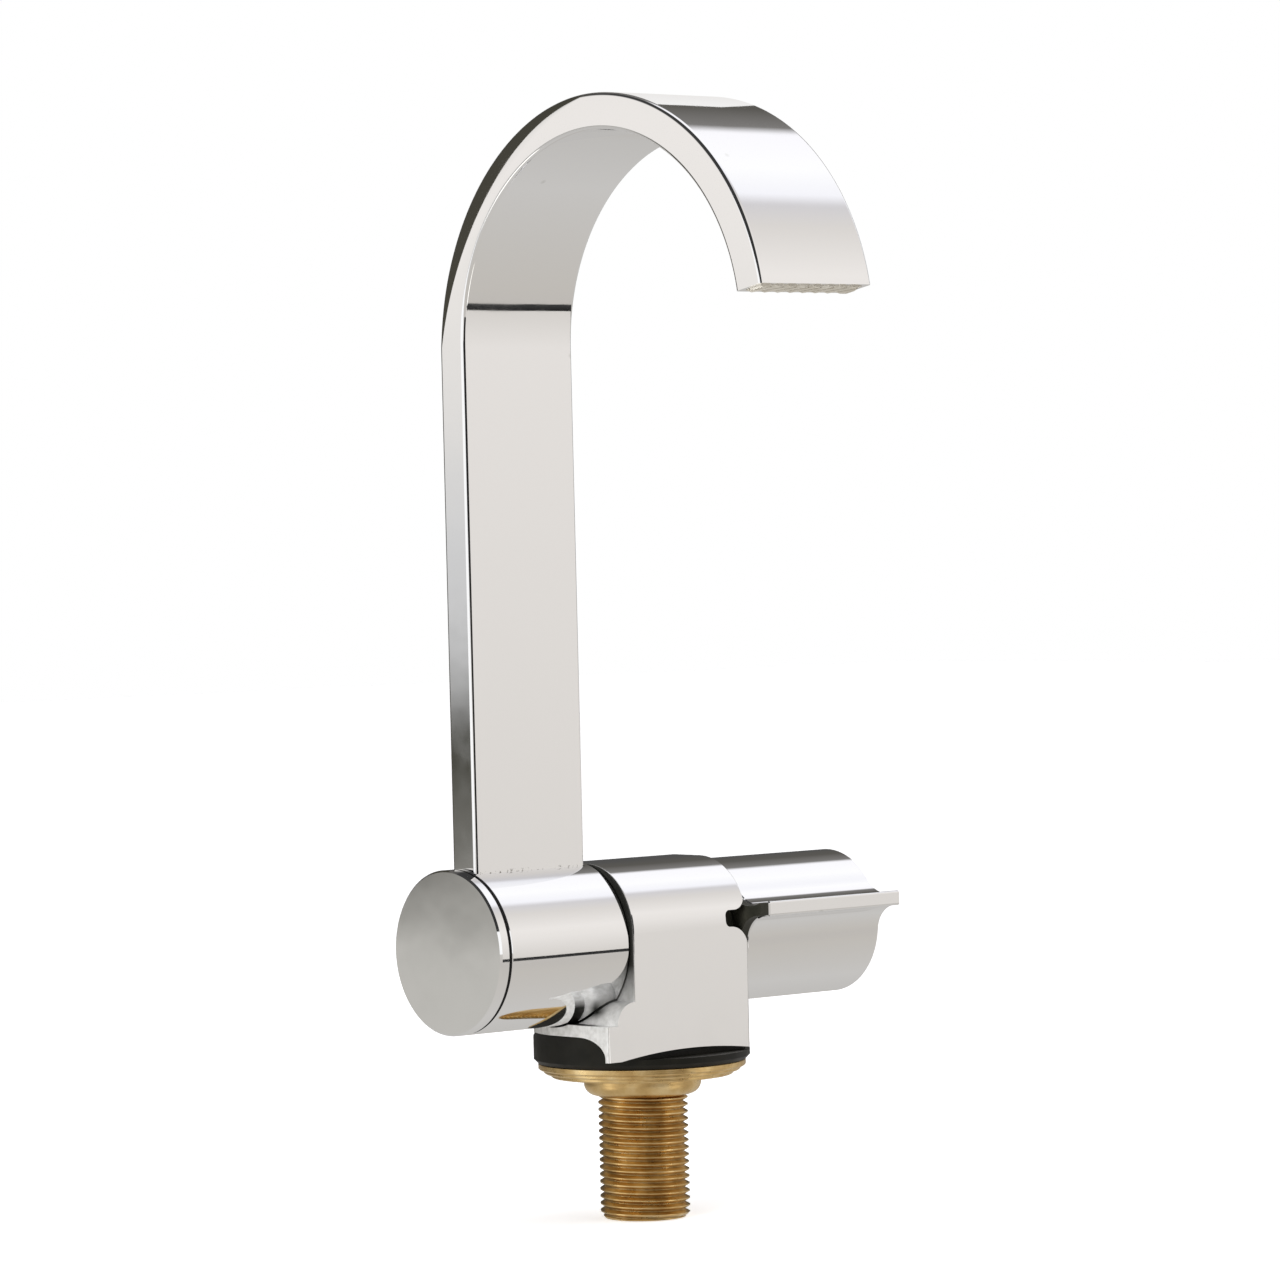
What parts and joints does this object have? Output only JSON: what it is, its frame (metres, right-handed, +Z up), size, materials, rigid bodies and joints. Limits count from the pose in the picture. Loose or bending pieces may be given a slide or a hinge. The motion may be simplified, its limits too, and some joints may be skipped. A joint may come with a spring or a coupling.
{
  "type": "folding caravan tap",
  "caption": "Chromed cold-water tap with an arched flat ribbon spout that folds down, a side lever, a black swivel ring and a threaded brass tail.",
  "frame": {"origin": "on the stem axis, at the underside of the brass flange, which rests on the worktop", "axes": "+Z up the stem, +X along the fold axis towards the lever, -Y towards the outlet; the spout stands upright and the lever is shut at rest"},
  "size_m": [0.0953, 0.1036, 0.2041],
  "materials": {
    "chrome": "polished chromium plating",
    "brass": "machined, uncoated",
    "black_plastic": "fine moulded grain",
    "bush_plastic": "smooth",
    "rubber": "satin",
    "ceramic": "lapped ceramic",
    "steel": "bright zinc-plated or stainless",
    "insert_plastic": "off-white moulded plastic"
  },
  "bodies": {
    "stem": {"tail_piece": "brass", "spigot_seals": "rubber"},
    "head": {"base_ring": "black_plastic", "body_housing": "chrome", "swivel_screw": "steel", "cover_ring": "black_plastic", "valve_body": "brass", "fixed_disc": "ceramic", "seat_seal": "rubber", "gland_nut": "brass", "fold_axle": "brass", "axle_seals": "rubber", "glide_washer": "bush_plastic", "retaining_washer": "steel", "retaining_screw": "steel", "disc_spring": "steel"},
    "spout": {"hub_barrel": "chrome", "spout_tube": "chrome", "bush_inner": "bush_plastic", "bush_outer": "bush_plastic", "stop_pin": "steel", "end_cap": "chrome", "cap_gasket": "rubber", "outlet_insert": "insert_plastic"},
    "lever": {"lever_shell": "chrome", "lever_carrier": "black_plastic", "lever_cap": "chrome", "lever_screw": "steel", "lever_washer": "steel", "valve_spindle": "brass", "moving_disc": "ceramic", "spindle_seal": "rubber"}
  },
  "joints": [
    {"name": "swivel", "type": "hinge", "parent": "stem", "child": "head", "pos_m": [0, 0, 0], "axis": [0, 0, 1], "continuous": true},
    {"name": "fold", "type": "hinge", "parent": "head", "child": "spout", "pos_m": [0, 0, 0.0257], "axis": [1, 0, 0], "range_deg": [0, 90]},
    {"name": "lever_turn", "type": "hinge", "parent": "head", "child": "lever", "pos_m": [0, 0, 0.0257], "axis": [1, 0, 0], "range_deg": [-90, 0]}
  ]
}
